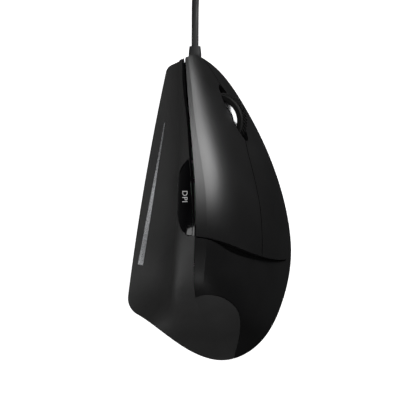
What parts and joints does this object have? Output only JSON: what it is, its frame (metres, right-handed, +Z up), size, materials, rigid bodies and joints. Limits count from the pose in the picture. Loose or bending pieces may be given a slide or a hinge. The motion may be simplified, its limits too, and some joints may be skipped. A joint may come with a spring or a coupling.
{
  "type": "vertical mouse",
  "caption": "Right-handed upright computer mouse with two finger keys, a clickable scroll wheel, thumb buttons and a coiled lead with a plug.",
  "frame": {"origin": "on the desk, under the middle of the mouse's outline (its lead left out)", "axes": "+Y forwards to the nose where the lead leaves, +X to the finger side, +Z up"},
  "size_m": [0.0724, 0.21, 0.0743],
  "materials": {
    "satin_shell": "satin",
    "matte_shell": "matte",
    "gloss_black": "gloss",
    "silver_trim": "metallic",
    "tyre_rubber": "matte",
    "chrome": "polished",
    "inner_plastic": "satin",
    "board": "satin",
    "chip": "matte",
    "clear_lens": "gloss",
    "steel": "brushed",
    "feet": "satin",
    "lead_jacket": "matte",
    "tongue": "satin"
  },
  "bodies": {
    "body": {"accent_strip": "silver_trim", "back_switch": "inner_plastic", "base_plate": "matte_shell", "base_screws": "steel", "board_screws": "steel", "controller_chip": "chip", "crest_strip": "gloss_black", "forward_switch": "inner_plastic", "frame_screws": "steel", "front_foot": "feet", "inner_lead": "lead_jacket", "key_frame": "inner_plastic", "lead": "lead_jacket", "lead_coil": "lead_jacket", "lead_connector": "inner_plastic", "lead_grommet": "lead_jacket", "lead_tail": "lead_jacket", "lead_tie": "lead_jacket", "left_switch": "inner_plastic", "main_board": "board", "middle_switch": "inner_plastic", "optical_sensor": "chip", "palm_cover": "satin_shell", "plug_body": "lead_jacket", "plug_shell": "steel", "plug_tongue": "tongue", "rear_foot": "feet", "resolution_board": "board", "resolution_switch": "inner_plastic", "right_switch": "inner_plastic", "sensor_lens": "clear_lens", "side_board": "board", "side_board_screws": "steel", "side_foot": "feet", "switch_board": "board", "thumb_cover": "matte_shell"},
    "left_key": {"left_key": "satin_shell"},
    "right_key": {"right_key": "satin_shell"},
    "cradle": {"wheel_cradle": "inner_plastic", "scroll_encoder": "inner_plastic"},
    "wheel": {"wheel_tyre": "tyre_rubber", "wheel_hub": "inner_plastic", "upper_wheel_rim": "chrome", "lower_wheel_rim": "chrome"},
    "resolution_button": {"resolution_button": "gloss_black"},
    "forward_button": {"forward_button": "gloss_black"},
    "back_button": {"back_button": "gloss_black"},
    "left_plunger": {"left_plunger": "inner_plastic"},
    "right_plunger": {"right_plunger": "inner_plastic"},
    "middle_plunger": {"middle_plunger": "inner_plastic"},
    "forward_plunger": {"forward_plunger": "inner_plastic"},
    "back_plunger": {"back_plunger": "inner_plastic"},
    "resolution_plunger": {"resolution_plunger": "inner_plastic"}
  },
  "joints": [
    {"name": "left_key_press", "type": "hinge", "parent": "body", "child": "left_key", "pos_m": [0.01828, -0.01462, 0.03203], "axis": [-0.3616, -0.0312, 0.9318], "range_deg": [0, 0.4], "stiffness_Nm_per_rad": 4.5},
    {"name": "right_key_press", "type": "hinge", "parent": "body", "child": "right_key", "pos_m": [0.01828, -0.01462, 0.03203], "axis": [-0.3616, -0.0312, 0.9318], "range_deg": [0, 0.4], "stiffness_Nm_per_rad": 4.5},
    {"name": "wheel_click", "type": "hinge", "parent": "body", "child": "cradle", "pos_m": [0.00857, 0.01963, 0.02941], "axis": [-0.3616, -0.0312, 0.9318], "range_deg": [0, 1.6], "stiffness_Nm_per_rad": 0.5},
    {"name": "wheel_spin", "type": "hinge", "parent": "cradle", "child": "wheel", "pos_m": [0.00376, 0.03393, 0.02802], "axis": [-0.3616, -0.0312, 0.9318], "continuous": true},
    {"name": "resolution_press", "type": "slide", "parent": "body", "child": "resolution_button", "axis": [0, 0, -1], "range_m": [0, 0.0002], "stiffness_N_per_m": 1200},
    {"name": "forward_press", "type": "slide", "parent": "body", "child": "forward_button", "axis": [1, 0, 0], "range_m": [0, 0.0005], "stiffness_N_per_m": 1200},
    {"name": "back_press", "type": "slide", "parent": "body", "child": "back_button", "axis": [1, 0, 0], "range_m": [0, 0.0005], "stiffness_N_per_m": 1200},
    {"name": "left_plunger_slide", "type": "slide", "parent": "body", "child": "left_plunger", "axis": [-0.8212, -0.4626, -0.3342], "range_m": [0, 0.00032]},
    {"name": "right_plunger_slide", "type": "slide", "parent": "body", "child": "right_plunger", "axis": [-0.8212, -0.4626, -0.3342], "range_m": [0, 0.00032]},
    {"name": "middle_plunger_slide", "type": "slide", "parent": "body", "child": "middle_plunger", "axis": [-0.8212, -0.4626, -0.3342], "range_m": [0, 0.00045]},
    {"name": "resolution_plunger_slide", "type": "slide", "parent": "body", "child": "resolution_plunger", "axis": [0, 0, -1], "range_m": [0, 0.0002]},
    {"name": "forward_plunger_slide", "type": "slide", "parent": "body", "child": "forward_plunger", "axis": [1, 0, 0], "range_m": [0, 0.0005]},
    {"name": "back_plunger_slide", "type": "slide", "parent": "body", "child": "back_plunger", "axis": [1, 0, 0], "range_m": [0, 0.0005]}
  ],
  "couplings": [
    {"joint": "left_plunger_slide", "follows": "left_key_press", "m_per_rad": 0.044},
    {"joint": "right_plunger_slide", "follows": "right_key_press", "m_per_rad": 0.044},
    {"joint": "middle_plunger_slide", "follows": "wheel_click", "m_per_rad": 0.015},
    {"joint": "resolution_plunger_slide", "follows": "resolution_press", "ratio": 1},
    {"joint": "forward_plunger_slide", "follows": "forward_press", "ratio": 1},
    {"joint": "back_plunger_slide", "follows": "back_press", "ratio": 1}
  ]
}
